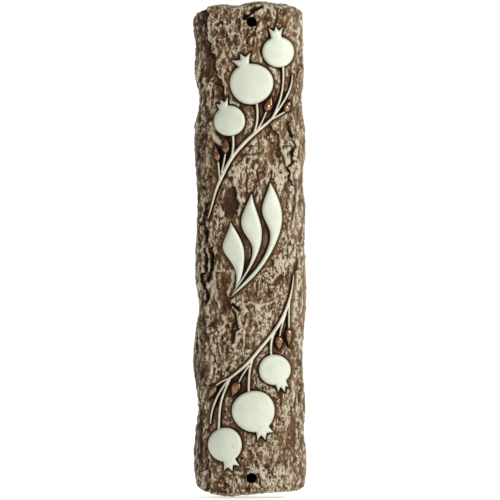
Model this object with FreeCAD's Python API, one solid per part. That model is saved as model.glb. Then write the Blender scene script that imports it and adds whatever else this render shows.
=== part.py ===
import FreeCAD, Part
import math
import os

# Mezuzah case, upright.  +Z runs up the door post, the flat back lies in the plane Y = 0
# and the decorated front faces -Y.  The origin is on the back face, midway between the two
# screw holes.  All sizes are in millimetres; an outline is a list of (x, z) points.

# ---- case ----
DEPTH = 19.0              # back face to the crown of the domed front
HALF_WIDTH = 21.0         # of the section before the wavy edge trims it
MID_X = -0.65             # middle of the width, left of the line through the screw holes
DOME_RADIUS = 38.0        # gentle dome across the front
SHOULDER_RADIUS = 7.0     # rounding from the dome into the sides
HALF_LENGTH = 91.0        # of the block before the wavy edge trims it
END_RADIUS = 6.0          # rounding of the front at both ends
HOLE_RADIUS = 1.9         # clears a 3.5 mm screw
HOLE_SPACING = 166.0

# ---- scroll cavity and its cover ----
CAVITY_LENGTH = 134.0
CAVITY_WIDTH = 16.0
CAVITY_DEPTH = 15.0       # from the back face
COVER_THICKNESS = 1.6
COVER_LEDGE = 3.5         # width of the ledge that the cover sits on
COVER_CLEARANCE = 0.15
LIP_DEPTH = 2.5           # rim on the cover's inside that grips the cavity wall
LIP_WALL = 1.0
NOTCH_RADIUS = 4.5        # fingernail notch at the cover's lower end
NOTCH_DEPTH = 2.4

# ---- scroll ----
SCROLL_LENGTH = 120.0
SCROLL_RADIUS = 5.2
SCROLL_CORE_RADIUS = 1.0
SLEEVE_GAP = 0.15
SLEEVE_WALL = 0.3
SLEEVE_OVERHANG = 1.0     # sleeve past the parchment at each end
SCROLL_AXIS_Y = -8.4
END_CLEARANCE = 0.1       # between the sleeve's lower edge and the rounded cavity end

# ---- height of each ornament above the front ----
FRUIT_HEIGHT = 1.5
FLAME_HEIGHT = 1.3
BRANCH_HEIGHT = 1.0
BUD_HEIGHT = 1.6
CROWN_SAG = 0.05          # hollow of a crown's edges, as a share of their length
FRUIT_LOBES = 3           # faint bulges round a fruit
RIM_POINTS = 16           # points of a fruit's smooth rim

# The case's wavy hand-carved edge, clockwise from the top left corner.
CASE_EDGE = [
    (-18.8, 87.7), (-15.5, 89.4), (-11.5, 89.9), (-4.6, 89.3), (1.5, 90.6), (9.0, 90.1), (14.8, 89.4),
    (17.6, 88.0), (18.5, 84.8), (18.5, 76.0), (18.7, 62.0), (18.0, 56.0), (19.0, 46.0), (19.5, 37.5),
    (18.5, 27.0), (19.5, 14.5), (19.1, 2.0), (19.8, -11.5), (19.1, -27.0), (18.4, -43.0),
    (19.5, -58.5), (19.1, -64.0), (19.8, -75.0), (19.5, -84.5), (18.6, -87.2),
    (15.6, -88.3), (8.0, -88.7), (-1.0, -89.2), (-9.5, -90.2), (-15.8, -89.3), (-19.2, -87.6),
    (-20.4, -83.5), (-21.1, -71.0), (-19.6, -56.5), (-21.1, -44.0), (-20.2, -30.0),
    (-19.2, -21.5), (-20.3, -12.0), (-19.9, 10.0), (-20.3, 32.0), (-20.1, 48.0),
    (-18.9, 54.5), (-20.6, 65.0), (-20.3, 73.0), (-21.1, 80.5), (-20.8, 85.3),
]

# Pomegranates: centre, radii along X and Z, lopsidedness (share of the radius, direction in
# degrees), and the crown from one foot over three tips to the other foot.
FRUITS = {
    "pomegranate_upper_right": ((9.7, 72.1), (5.8, 5.55), (0.01, 40), [
        (7.1, 77.0), (5.9, 81.0), (8.0, 79.6), (8.8, 81.5), (9.9, 79.8), (11.4, 81.4), (10.9, 77.2)]),
    "pomegranate_upper_middle": ((-0.1, 60.5), (7.9, 7.4), (0.02, 140), [
        (-4.3, 66.0), (-7.5, 69.0), (-4.2, 69.2), (-4.3, 71.6), (-2.4, 70.2), (-0.4, 72.0), (-0.9, 67.0)]),
    "pomegranate_upper_left": ((-8.1, 47.0), (5.7, 5.5), (0.01, 90), [
        (-11.7, 50.5), (-13.0, 53.4), (-11.6, 52.9), (-11.3, 54.9), (-10.0, 53.8),
        (-8.6, 55.8), (-8.5, 51.8)]),
    "pomegranate_lower_right": ((8.4, -43.6), (5.8, 5.5), (0.01, 120), [
        (8.2, -48.5), (9.7, -51.8), (10.5, -49.9), (12.1, -51.8), (12.4, -49.5),
        (13.6, -50.2), (12.6, -47.2)]),
    "pomegranate_lower_middle": ((0.7, -58.7), (7.8, 7.5), (0.02, 50), [
        (1.5, -65.7), (2.0, -69.5), (3.4, -67.4), (5.0, -69.2), (5.5, -66.6), (8.1, -66.4), (6.2, -64.0)]),
    "pomegranate_lower_left": ((-9.7, -70.9), (6.15, 6.2), (0.01, 60), [
        (-10.4, -76.6), (-10.1, -80.5), (-8.8, -79.1), (-7.0, -80.5), (-6.7, -78.2),
        (-4.3, -78.6), (-6.2, -75.4)]),
}

# Flames: tip, foot, then the left and the right side from the tip down to the foot.
FLAMES = {
    "flame_right": ((6.7, 24.5), (-7.9, -17.5), [
        (4.5, 18.2), (3.8, 14.6), (5.0, 10.6), (6.6, 6.8), (6.2, 1.8), (3.4, -4.3), (-2.4, -11.3)], [
        (9.9, 18.0), (11.1, 12.0), (9.7, 4.8), (6.3, -2.3), (1.4, -9.0), (-4.4, -14.5)]),
    "flame_middle": ((0.0, 20.7), (-7.5, -16.7), [
        (-2.8, 14.3), (-3.8, 9.8), (-2.2, 5.6), (0.0, 1.8), (-0.5, -4.4), (-3.7, -10.6)], [
        (2.1, 13.2), (3.6, 7.6), (2.9, 0.8), (0.2, -5.3), (-3.3, -10.9)]),
    "flame_left": ((-7.7, 10.1), (-6.1, -13.9), [
        (-9.6, 4.6), (-10.5, 0.9), (-8.5, -3.0), (-6.1, -7.0), (-5.5, -11.2)], [
        (-5.1, 5.8), (-2.9, 0.3), (-2.9, -5.4), (-4.2, -10.8)]),
}

# Branches: each stroke is a centre line with the stem's width at every point (x, z, width).
BRANCHES = {
    "upper_branch": {
        "stem": [(-15.9, 11.6, 0.3), (-14.6, 16.0, 0.6), (-12.9, 22.0, 0.9), (-10.6, 27.3, 1.2),
                 (-7.7, 32.8, 1.2), (-4.1, 37.4, 1.2), (0.0, 41.5, 1.2), (4.2, 45.0, 1.0), (7.9, 48.4, 0.85)],
        "fruit_twig_right": [(7.2, 47.6, 0.8), (9.0, 51.2, 0.7), (10.8, 56.6, 0.7), (11.5, 62.0, 0.7),
                             (11.4, 67.4, 0.8)],
        "tendril": [(7.4, 47.8, 0.7), (10.0, 51.5, 0.7), (12.9, 56.3, 0.7), (14.4, 60.3, 0.6),
                    (14.8, 63.9, 0.3)],
        "fruit_twig_middle": [(0.3, 41.6, 0.85), (1.7, 45.4, 0.8), (2.1, 50.0, 0.8), (1.7, 54.0, 0.8)],
        "fruit_twig_left": [(-7.8, 32.6, 0.85), (-6.8, 36.7, 0.8), (-6.7, 39.8, 0.8), (-6.9, 42.3, 0.8)],
        "bud_twig_right": [(6.8, 47.4, 0.7), (9.7, 48.9, 0.6), (12.6, 50.7, 0.55)],
        "bud_twig_middle": [(1.2, 42.5, 0.7), (3.2, 45.6, 0.6), (5.5, 50.9, 0.55)],
        "bud_twig_left": [(-11.0, 28.0, 0.7), (-10.2, 31.6, 0.6), (-9.5, 35.7, 0.55)],
        "bud_twig_tail": [(-11.6, 25.4, 0.7), (-11.9, 29.0, 0.6), (-12.3, 32.7, 0.55)],
    },
    "lower_branch": {
        "stem": [(15.3, -9.1, 0.3), (14.7, -14.1, 0.6), (13.2, -20.0, 1.0), (10.9, -25.4, 1.2),
                 (7.4, -30.7, 1.2), (3.4, -35.5, 1.2), (-0.8, -40.5, 1.2), (-4.5, -43.9, 1.0),
                 (-8.3, -46.9, 1.0)],
        "fruit_twig_left": [(-7.8, -46.4, 0.85), (-9.8, -51.2, 0.8), (-11.2, -55.5, 0.8), (-11.8, -60.5, 0.8),
                            (-12.0, -65.3, 0.8)],
        "tendril": [(-7.9, -46.7, 0.8), (-11.0, -50.7, 0.7), (-13.3, -55.2, 0.7), (-14.7, -60.0, 0.6),
                    (-15.0, -63.4, 0.3)],
        "fruit_twig_middle": [(1.0, -38.0, 0.85), (-0.4, -42.3, 0.8), (-1.0, -47.0, 0.8), (-1.1, -52.0, 0.8)],
        "fruit_twig_right": [(8.4, -29.9, 0.85), (7.2, -33.4, 0.8), (7.0, -36.0, 0.8), (7.2, -38.8, 0.8)],
        "bud_twig_left": [(-7.9, -46.7, 0.7), (-10.7, -47.8, 0.6), (-13.5, -49.8, 0.55)],
        "bud_twig_middle": [(-0.8, -41.9, 0.7), (-2.9, -44.8, 0.6), (-4.9, -48.6, 0.55)],
        "bud_twig_right": [(12.5, -23.0, 0.7), (11.1, -27.3, 0.6), (10.1, -32.1, 0.55)],
        "bud_twig_tail": [(13.7, -19.0, 0.7), (13.6, -24.0, 0.6), (13.6, -29.1, 0.55)],
    },
}

# Buds: the end on the twig, the pointed tip, and the width.
BUDS = {
    "bud_upper_1": ((12.4, 50.2), (14.2, 54.7), 2.5),
    "bud_upper_2": ((5.4, 50.3), (7.3, 55.8), 3.1),
    "bud_upper_3": ((-9.5, 35.0), (-9.5, 40.8), 2.8),
    "bud_upper_4": ((-12.3, 32.0), (-13.5, 38.6), 2.3),
    "bud_lower_1": ((13.6, -28.4), (13.6, -35.0), 2.5),
    "bud_lower_2": ((10.1, -31.3), (10.0, -36.6), 3.0),
    "bud_lower_3": ((-4.8, -47.9), (-7.2, -53.4), 3.2),
    "bud_lower_4": ((-13.2, -49.2), (-15.9, -54.5), 2.5),
}


def point(x, z, y=0.0):
    return FreeCAD.Vector(x, y, z)


def line(start, end):
    return Part.makeLine(point(*start), point(*end))


def curve(points, closed=False):
    """Smooth curve through the points."""
    spline = Part.BSplineCurve()
    spline.interpolate(Points=[point(x, z) for x, z in points], PeriodicFlag=closed)
    return spline.toShape()


def hollow_edge(start, end, side):
    """Arc from start to end, bowed a little towards the given side of its chord."""
    across = (start[1] - end[1], end[0] - start[0])
    middle = [(start[i] + end[i]) / 2 + side * CROWN_SAG * across[i] for i in (0, 1)]
    return Part.Arc(point(*start), point(*middle), point(*end)).toShape()


def prism(edges):
    """The outline made of these edges, pushed from the back face out past the front."""
    face = Part.Face(Part.Wire(edges))
    return face.extrude(FreeCAD.Vector(0, -2 * DEPTH, 0))


def section(proud):
    """Flat back, upright sides, shoulders and domed front, grown outwards by proud."""
    half = HALF_WIDTH + proud
    dome = DOME_RADIUS + proud
    shoulder = SHOULDER_RADIUS + proud
    dome_y = DOME_RADIUS - DEPTH
    shoulder_x = half - shoulder
    shoulder_y = dome_y - math.sqrt((dome - shoulder) ** 2 - shoulder_x ** 2)
    reach = dome / (dome - shoulder)
    meet_x = shoulder_x * reach
    meet_y = dome_y + (shoulder_y - dome_y) * reach
    turn = math.atan2(meet_y - shoulder_y, meet_x - shoulder_x) / 2
    bulge_x = shoulder_x + shoulder * math.cos(turn)
    bulge_y = shoulder_y + shoulder * math.sin(turn)
    corners = [(half, 0), (half, shoulder_y), (bulge_x, bulge_y), (meet_x, meet_y)]
    right = [FreeCAD.Vector(MID_X + x, y, 0) for x, y in corners]
    left = [FreeCAD.Vector(MID_X - x, y, 0) for x, y in corners]
    crown = FreeCAD.Vector(MID_X, dome_y - dome, 0)
    edges = [
        Part.makeLine(left[0], right[0]),
        Part.makeLine(right[0], right[1]),
        Part.Arc(right[1], right[2], right[3]).toShape(),
        Part.Arc(right[3], crown, left[3]).toShape(),
        Part.Arc(left[3], left[2], left[1]).toShape(),
        Part.makeLine(left[1], left[0]),
    ]
    return Part.Face(Part.Wire(edges))


def block(proud=0.0):
    """The section run along the whole length."""
    low_end = section(proud)
    low_end.translate(FreeCAD.Vector(0, 0, -HALF_LENGTH))
    return low_end.extrude(FreeCAD.Vector(0, 0, 2 * HALF_LENGTH))


def end_rounding():
    """Block whose front edges at the top and bottom are rounded."""
    width = 4 * HALF_WIDTH
    corner = FreeCAD.Vector(-width / 2, -DEPTH, -HALF_LENGTH)
    box = Part.makeBox(width, DEPTH, 2 * HALF_LENGTH, corner)
    front_ends = [edge for edge in box.Edges
                  if edge.BoundBox.YMax < -DEPTH / 2 and edge.BoundBox.XLength > width / 2]
    return box.makeFillet(END_RADIUS, front_ends)


def raised(outline, height):
    """The part of an outline's prism that lies between the front and height above it."""
    solid = outline.common(block(height)).cut(block())
    return solid.removeSplitter()


def slot_prism(length, width, depth, top_y=0.0):
    """Straight slot along Z with round ends, from top_y down towards the front."""
    radius = width / 2
    straight = length / 2 - radius
    edges = [
        line((radius, -straight), (radius, straight)),
        Part.Arc(point(radius, straight), point(0, length / 2), point(-radius, straight)).toShape(),
        line((-radius, straight), (-radius, -straight)),
        Part.Arc(point(-radius, -straight), point(0, -length / 2), point(radius, -straight)).toShape(),
    ]
    face = Part.Face(Part.Wire(edges))
    face.translate(FreeCAD.Vector(0, top_y, 0))
    return face.extrude(FreeCAD.Vector(0, -depth, 0))


def rod_along_y(radius, depth, z):
    """Round bar from the back face forwards."""
    return Part.makeCylinder(radius, depth, point(0, z), FreeCAD.Vector(0, -1, 0))


def case_shell():
    body = block().common(end_rounding()).common(prism([curve(CASE_EDGE, closed=True)]))
    cavity = slot_prism(CAVITY_LENGTH, CAVITY_WIDTH, CAVITY_DEPTH)
    ledge_length = CAVITY_LENGTH + 2 * COVER_LEDGE
    ledge = slot_prism(ledge_length, CAVITY_WIDTH + 2 * COVER_LEDGE, COVER_THICKNESS)
    notch = rod_along_y(NOTCH_RADIUS, NOTCH_DEPTH, -ledge_length / 2)
    holes = [rod_along_y(HOLE_RADIUS, 2 * DEPTH, side * HOLE_SPACING / 2) for side in (-1, 1)]
    return body.cut(cavity).cut(ledge).cut(notch).cut(holes[0]).cut(holes[1])


def back_cover():
    grow = 2 * (COVER_LEDGE - COVER_CLEARANCE)
    plate = slot_prism(CAVITY_LENGTH + grow, CAVITY_WIDTH + grow, COVER_THICKNESS)
    shrink = 2 * COVER_CLEARANCE
    rim = slot_prism(CAVITY_LENGTH - shrink, CAVITY_WIDTH - shrink, LIP_DEPTH, -COVER_THICKNESS)
    inside = shrink + 2 * LIP_WALL
    room = slot_prism(CAVITY_LENGTH - inside, CAVITY_WIDTH - inside, LIP_DEPTH, -COVER_THICKNESS)
    return plate.fuse(rim.cut(room)).removeSplitter()


def tube_along_z(outer, inner, length, low_z):
    base = point(0, low_z, SCROLL_AXIS_Y)
    return Part.makeCylinder(outer, length, base).cut(Part.makeCylinder(inner, length, base))


def scroll_and_sleeve():
    """Rolled parchment in its thin film sleeve, standing in the cavity's rounded lower end."""
    inner = SCROLL_RADIUS + SLEEVE_GAP
    outer = inner + SLEEVE_WALL
    end_radius = CAVITY_WIDTH / 2
    rise = end_radius - math.sqrt(end_radius ** 2 - outer ** 2)
    sleeve_z = -CAVITY_LENGTH / 2 + rise + END_CLEARANCE
    sleeve = tube_along_z(outer, inner, SCROLL_LENGTH + 2 * SLEEVE_OVERHANG, sleeve_z)
    scroll = tube_along_z(SCROLL_RADIUS, SCROLL_CORE_RADIUS, SCROLL_LENGTH, sleeve_z + SLEEVE_OVERHANG)
    return {"parchment_scroll": scroll, "scroll_sleeve": sleeve}


def fruit_outline(centre, radii, lopsided, crown):
    """Round fruit, a little lopsided, joined to its three-pointed crown."""
    amount, direction = lopsided
    rim = []
    for step in range(RIM_POINTS):
        angle = math.radians(360 * step / RIM_POINTS)
        swell = 1 + amount * math.cos(FRUIT_LOBES * (angle - math.radians(direction)))
        rim.append((centre[0] + radii[0] * swell * math.cos(angle),
                    centre[1] + radii[1] * swell * math.sin(angle)))
    upright = 1 if crown[3][1] > centre[1] else -1
    edges = [hollow_edge(a, b, -upright) for a, b in zip(crown, crown[1:])]
    edges += [line(crown[-1], centre), line(centre, crown[0])]
    return prism([curve(rim, closed=True)]).fuse(prism(edges)).removeSplitter()


def flame_outline(tip, foot, left, right):
    """Leaf-shaped flame between its tip and the foot where the flames run together."""
    return prism([curve([tip] + left + [foot]), curve([foot] + right[::-1] + [tip])])


def stroke_outline(stations):
    """Stem along a centre line, with its own width at every station."""
    left = []
    right = []
    last = len(stations) - 1
    for index, (x, z, width) in enumerate(stations):
        before = stations[max(index - 1, 0)]
        after = stations[min(index + 1, last)]
        run = (after[0] - before[0], after[1] - before[1])
        scale = width / 2 / math.hypot(*run)
        left.append((x - run[1] * scale, z + run[0] * scale))
        right.append((x + run[1] * scale, z - run[0] * scale))
    sides = [curve(left), line(left[-1], right[-1]), curve(right[::-1]), line(right[0], left[0])]
    return prism(sides)


def branch_outline(strokes):
    """Main stem with all its twigs."""
    pieces = [stroke_outline(stations) for stations in strokes.values()]
    return pieces[0].fuse(pieces[1:]).removeSplitter()


def bud_outline(base, tip, width):
    """Teardrop, widest near the twig and pointed at the tip."""
    along = (tip[0] - base[0], tip[1] - base[1])
    length = math.hypot(*along)
    across = (-along[1] * width / length, along[0] * width / length)

    def place(share, side):
        return (base[0] + share * along[0] + side * across[0], base[1] + share * along[1] + side * across[1])

    rim = [tip, place(0.68, 0.32), place(0.34, 0.5), place(0.07, 0.28), place(0.0, 0.0),
           place(0.07, -0.28), place(0.34, -0.5), place(0.68, -0.32), tip]
    return prism([curve(rim)])


def ornaments():
    """All raised ornaments, each cut back so that neighbours meet face to face."""
    nodes = {}
    fruits = {name: fruit_outline(*shape) for name, shape in FRUITS.items()}
    buds = {name: bud_outline(*shape) for name, shape in BUDS.items()}
    nodes.update({name: raised(outline, FRUIT_HEIGHT) for name, outline in fruits.items()})
    nodes.update({name: raised(outline, BUD_HEIGHT) for name, outline in buds.items()})
    for name, strokes in BRANCHES.items():
        stems = branch_outline(strokes)
        for outline in list(fruits.values()) + list(buds.values()):
            stems = stems.cut(outline)
        nodes[name] = raised(stems, BRANCH_HEIGHT)
    placed = []
    for name, shape in FLAMES.items():
        flame = flame_outline(*shape)
        for neighbour in placed:
            flame = flame.cut(neighbour)
        placed.append(flame)
        nodes[name] = raised(flame, FLAME_HEIGHT)
    return nodes


def main():
    os.makedirs("parts", exist_ok=True)
    nodes = {"case_shell": case_shell(), "back_cover": back_cover()}
    nodes.update(scroll_and_sleeve())
    nodes.update(ornaments())
    for name, solid in nodes.items():
        solid.exportStep(f"parts/{name}.step")
        print(f"{name}: {len(solid.Solids)} solid, {solid.Volume:.1f} mm3, valid {solid.isValid()}")


main()
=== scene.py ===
import math

import bmesh
import bpy
import numpy as np
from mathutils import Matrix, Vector
from mathutils.kdtree import KDTree


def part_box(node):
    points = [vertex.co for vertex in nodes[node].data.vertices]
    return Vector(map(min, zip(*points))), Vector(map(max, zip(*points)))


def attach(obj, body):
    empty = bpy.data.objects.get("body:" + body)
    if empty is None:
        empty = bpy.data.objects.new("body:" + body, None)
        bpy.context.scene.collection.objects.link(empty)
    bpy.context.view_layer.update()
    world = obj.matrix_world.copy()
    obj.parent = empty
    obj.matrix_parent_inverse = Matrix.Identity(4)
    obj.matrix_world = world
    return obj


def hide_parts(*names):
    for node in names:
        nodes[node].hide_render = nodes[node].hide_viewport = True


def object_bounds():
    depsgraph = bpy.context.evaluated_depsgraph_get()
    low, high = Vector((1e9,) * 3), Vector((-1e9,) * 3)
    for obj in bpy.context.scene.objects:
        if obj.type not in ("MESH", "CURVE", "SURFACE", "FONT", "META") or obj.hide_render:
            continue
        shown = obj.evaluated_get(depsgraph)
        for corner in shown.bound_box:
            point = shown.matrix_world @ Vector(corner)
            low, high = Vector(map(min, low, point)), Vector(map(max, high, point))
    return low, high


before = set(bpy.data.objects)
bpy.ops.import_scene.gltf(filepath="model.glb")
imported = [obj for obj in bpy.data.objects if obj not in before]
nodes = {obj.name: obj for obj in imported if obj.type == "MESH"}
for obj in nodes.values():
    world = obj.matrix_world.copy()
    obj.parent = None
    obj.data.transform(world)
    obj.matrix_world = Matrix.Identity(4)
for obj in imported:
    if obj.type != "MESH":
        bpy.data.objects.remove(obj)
cad_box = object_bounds()

# Shapes are worked out in millimetres and written to meshes in metres.
MM = 0.001

# ---- section of the case, as the CAD model has it ----
DEPTH = 19
HALF_WIDTH = 21
MID_X = -0.65
DOME_RADIUS = 38
SHOULDER_RADIUS = 7
HOLE_RADIUS = 1.9
HOLE_Z = 83
CAVITY = {"length": 134, "width": 16, "depth": 15}
COVER_THICKNESS = 1.6
COVER_LEDGE = 3.5
NOTCH_RADIUS = 4.5
NOTCH_DEPTH = 2.4
SHOULDER_X = HALF_WIDTH - SHOULDER_RADIUS
SHOULDER_DEPTH = DEPTH - DOME_RADIUS + math.sqrt((DOME_RADIUS - SHOULDER_RADIUS) ** 2 - SHOULDER_X ** 2)
MEET_X = SHOULDER_X * DOME_RADIUS / (DOME_RADIUS - SHOULDER_RADIUS)

# ---- meshes ----
SKIN_CELL = 0.31  # spacing of the stone skin's points
SECTION_LENGTH = 68  # rough length of the skin round one section
END_START = 86.2  # beyond this height the section shrinks to close the end
END_SQUARENESS = 4.0
WELD = 0.002  # CAD points closer than this are one point

# ---- features of the stone front, as (x, z) lines and spots ----
CRACKS = [  # line, half width, depth
    ([(13, 46.5), (13.5, 43.4), (14.7, 41), (15.7, 38), (15, 35.5), (15, 33.4), (15.7, 31.9),
      (13.5, 30.4), (13.8, 27.4), (14.7, 24)], 0.34, 1.4),
    ([(-16.6, 17.5), (-17, 12.3), (-16.9, 7.7), (-16.6, 3)], 0.42, 1.2),
    ([(-14.9, 1), (-14.9, -6.1), (-15.7, -11)], 0.5, 1.4),
    ([(-17.3, 0), (-16.7, -7.6), (-18.6, -9.1), (-18.2, -11.2), (-16.4, -15.1), (-16.7, -19.5)], 0.5, 1.2),
    ([(-3.2, 84.7), (-1, 85.7), (1, 87.4), (3.4, 88.4)], 0.5, 0.9),
    ([(-7, -19.6), (-6.2, -20.6), (-5, -21.8)], 0.5, 1.1),
    ([(-18.9, -57), (-19.2, -62), (-18.7, -68), (-19, -76)], 0.45, 0.45),
    ([(-16.6, -66), (-16.9, -71), (-16.3, -76)], 0.3, 0.35),
    ([(17.3, -46.5), (17.6, -51), (17.4, -55.5)], 0.4, 0.6),
    ([(15.9, 23), (16.2, 17), (15.2, 11)], 0.35, 0.5),
    ([(-7.2, 22.2), (-6, 20.2), (-5.2, 17), (-5.4, 13.7), (-5, 11.5)], 0.26, 0.6),
]
STEPS = [  # line from top to bottom with the lower ground on its -X side, height, fade of the low ground
    ([(-16.2, 89.5), (-16, 85.6), (-15.4, 81.1), (-15.2, 76), (-14.5, 72.3), (-13.1, 71.4), (-12.5, 69.9),
      (-12.8, 66), (-11.9, 63.9), (-10.7, 62), (-10.4, 57)], 0.9, 3.5),
    ([(7.7, 45), (10.2, 41.6), (11.1, 38), (12.3, 34.3), (13.2, 30.8)], 0.55, 2.5),
    ([(-9.2, -13), (-8.7, -17), (-7.4, -19.7), (-5.4, -22.5), (-4.5, -27.2), (-5.6, -31.8),
      (-6.5, -35)], 0.6, 4),
    ([(-6.8, 25.5), (-4.9, 20.4), (-4.2, 15), (-5.4, 11.5)], 0.35, 2),
    ([(-13.2, -4), (-13.5, -12), (-12.8, -20), (-12.9, -27)], 0.4, 1.6),
    ([(-15.2, -76), (-15, -82), (-15.2, -88.5)], 0.5, 3),
]
SLIVERS = [  # smooth pale ridge: line, half width
    ([(6.8, 66.9), (8.9, 64)], 0.55), ([(-8, 56.3), (-7.4, 53.3), (-4.3, 52.4)], 0.6),
    ([(-14.6, 42.7), (-12.6, 40.6), (-10.7, 38.4)], 1.05),
    ([(-14, -6.5), (-13.9, -12), (-14.2, -17.5)], 0.6),
    ([(-6.2, -7.3), (-7.1, -10.6), (-8, -13.6), (-8.6, -17)], 0.6), ([(-2, 85.9), (0.6, 87.1)], 0.4),
    ([(12.4, -57), (12.6, -66)], 0.45), ([(7.4, -50.5), (7.4, -52.7)], 0.5),
    ([(-10.4, -61.6), (-9.2, -63.4), (-7.7, -62.5)], 0.4), ([(2.9, 71.4), (3.5, 68.7)], 0.4),
    ([(5.9, 88.6), (7.7, 85), (8, 82.9)], 0.35), ([(-10.9, 73.2), (-10.8, 69)], 0.4),
    ([(9.3, -18.6), (3, -19.6), (-2, -19.2), (-5.6, -20)], 0.4), ([(-13.9, 74), (-12.6, 73.6)], 0.3),
    ([(-8.9, 25.5), (-8, 22.5)], 0.6),
]
HOLLOWS = [  # smooth reddish dip: centre, half sizes, depth, softness of its edge
    ((-8, 17), (3.2, 6.4), 0.7, 0.35), ((-9.5, -16), (3, 9), 0.35, 0.9),
    ((-9.8, 1.5), (2.2, 4), 0.3, 0.8), ((7.4, 35), (1.8, 6), 0.3, 0.9),
    ((14.8, -66), (2.2, 10), 0.2, 0.9), ((-18.6, -66), (1.5, 11), 0.3, 0.9),
    ((-13.5, 42), (2.4, 4.5), 0.25, 0.9), ((-16, 66), (2, 6.5), 0.25, 0.9),
]
CREAM_SPOTS = [  # heavier dry brushing: centre, half sizes, strength
    ((-4, 29.5), (6.5, 7.5), 0.75), ((10.5, 24.5), (3.6, 6), 1), ((16.4, 34), (1.8, 11), 0.9),
    ((4.5, -26), (6, 10), 0.7), ((-11.5, 12), (3, 6), 0.75), ((10.5, -6), (5, 5.5), 0.8),
    ((-13.5, -35), (6, 11), 0.5), ((7, -82), (12, 7), 0.75), ((-5, 80), (12, 9.5), 0.4),
    ((6, 88), (9, 3), 0.8), ((-12.8, 44), (3.5, 4.5), 0.8), ((-3.5, -21), (4, 2.5), 0.9),
    ((2, 41), (8, 4), 0.4), ((17.5, 0), (2.2, 40), 0.6), ((-6, 88.5), (10, 2.5), 0.8),
    ((-17.5, -84), (3.5, 6), 0.7), ((-14.5, 55), (1.8, 10), 0.6), ((15.5, -20), (3, 20), 0.55),
]
PALE_SPOTS = [  # tan ground: centre, half sizes, strength
    ((3.5, -30), (13, 20), 0.95), ((-12.5, -18), (4, 16), 0.8), ((0, -72), (24, 22), 0.5),
    ((-15, -42), (7, 14), 0.6), ((11, 44), (5, 5), 0.6),
]
FRUIT_CRACK = [(-7.5, -69.9), (-7, -70.8), (-6.9, -71.9)]


# ==== noise, the same on every run ====

def lattice(ix, iy, iz, seed):
    """Repeatable random number in 0..1 for every whole-number point."""
    mixed = (ix * 374761393 + iy * 668265263 + iz * 1440662683 + seed * 974711) & 0xFFFFFFFF
    mixed = ((mixed ^ (mixed >> 13)) * 1274126177) & 0xFFFFFFFF
    mixed = ((mixed ^ (mixed >> 15)) * 2246822519) & 0xFFFFFFFF
    return (mixed ^ (mixed >> 16)) / 4294967295.0


def noise(points, size, seed):
    """Smooth noise in -1..1 whose bumps are about size across; size may differ by axis."""
    scaled = points / np.asarray(size, float)
    base = np.floor(scaled).astype(np.int64)
    part = scaled - base
    part = part * part * (3 - 2 * part)
    total = np.zeros(len(points))
    for corner in np.ndindex(2, 2, 2):
        bits = corner[::-1]
        weight = np.ones(len(points))
        for axis in range(3):
            weight = weight * (part[:, axis] if bits[axis] else 1 - part[:, axis])
        total += weight * lattice(*(base + bits).T, seed)
    return total * 2 - 1


def layered(points, size, octaves, seed, fade=0.6):
    """Sum of noises, each half the size and fade times the strength of the one before."""
    total = np.zeros(len(points))
    strength = 1.0
    reach = 0.0
    for octave in range(octaves):
        total += strength * noise(points, np.asarray(size, float) / 2 ** octave, seed + 31 * octave)
        reach += strength
        strength *= fade
    return total / reach


def cell_walls(points, size, seed):
    """0 in the middle of irregular cells, 1 on the walls between them."""
    scaled = points / np.asarray(size, float)
    base = np.floor(scaled).astype(np.int64)
    nearest = np.full(len(points), 9.0)
    second = np.full(len(points), 9.0)
    for offset in np.ndindex(3, 3, 3):
        cell = base + np.array(offset) - 1
        seedpoint = cell + np.stack([lattice(*cell.T, seed + axis) for axis in range(3)], 1)
        distance = np.linalg.norm(scaled - seedpoint, axis=1)
        second = np.minimum(second, np.maximum(nearest, distance))
        nearest = np.minimum(nearest, distance)
    wall = 0.35
    return 1 - np.clip((second - nearest) / wall, 0, 1)


def smooth(low, high, value):
    """0 below low, 1 above high, eased in between."""
    share = np.clip((value - low) / (high - low), 0, 1)
    return share * share * (3 - 2 * share)


def hump(away, width):
    """1 where away is 0, almost nothing at twice the width."""
    return np.exp(-(away / width) ** 2)


# ==== outlines read from the frame ====

def front_depth(x):
    """Distance from the back plane to the smooth front at x."""
    away = np.abs(np.asarray(x, float) - MID_X)
    dome = DEPTH - DOME_RADIUS + np.sqrt(DOME_RADIUS ** 2 - np.minimum(away, MEET_X) ** 2)
    over = np.clip(away - SHOULDER_X, 0, SHOULDER_RADIUS)
    shoulder = SHOULDER_DEPTH + np.sqrt(SHOULDER_RADIUS ** 2 - over ** 2)
    return np.where(away < MEET_X, dome, shoulder)


def case_edges():
    """Points of the case's wavy back edge: both sides in order of z, both ends in order of x."""
    vertices = nodes["case_shell"].data.vertices
    points = np.array([tuple(v.co) for v in vertices]) / MM
    rim = points[np.abs(points[:, 1]) < 0.001]
    left_limit, right_limit, end_limit = -17, 16, 87
    sides = [rim[rim[:, 0] < left_limit], rim[rim[:, 0] > right_limit]]
    ends = [rim[rim[:, 2] < -end_limit], rim[rim[:, 2] > end_limit]]
    return [side[np.argsort(side[:, 2])] for side in sides], [end[np.argsort(end[:, 0])] for end in ends]


def outline(node):
    """Segments of a raised ornament's outline: the edges where its upright walls meet its front."""
    mesh = bmesh.new()
    mesh.from_mesh(nodes[node].data)
    bmesh.ops.remove_doubles(mesh, verts=mesh.verts, dist=WELD * MM)
    segments = []
    front_slope, wall_slope = -0.35, 0.2
    for edge in mesh.edges:
        slopes = sorted(face.normal.y for face in edge.link_faces)
        if len(slopes) == 2 and slopes[0] < front_slope and abs(slopes[1]) < wall_slope:
            segments.append([(v.co.x / MM, v.co.z / MM) for v in edge.verts])
    mesh.free()
    return np.array(segments)


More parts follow.
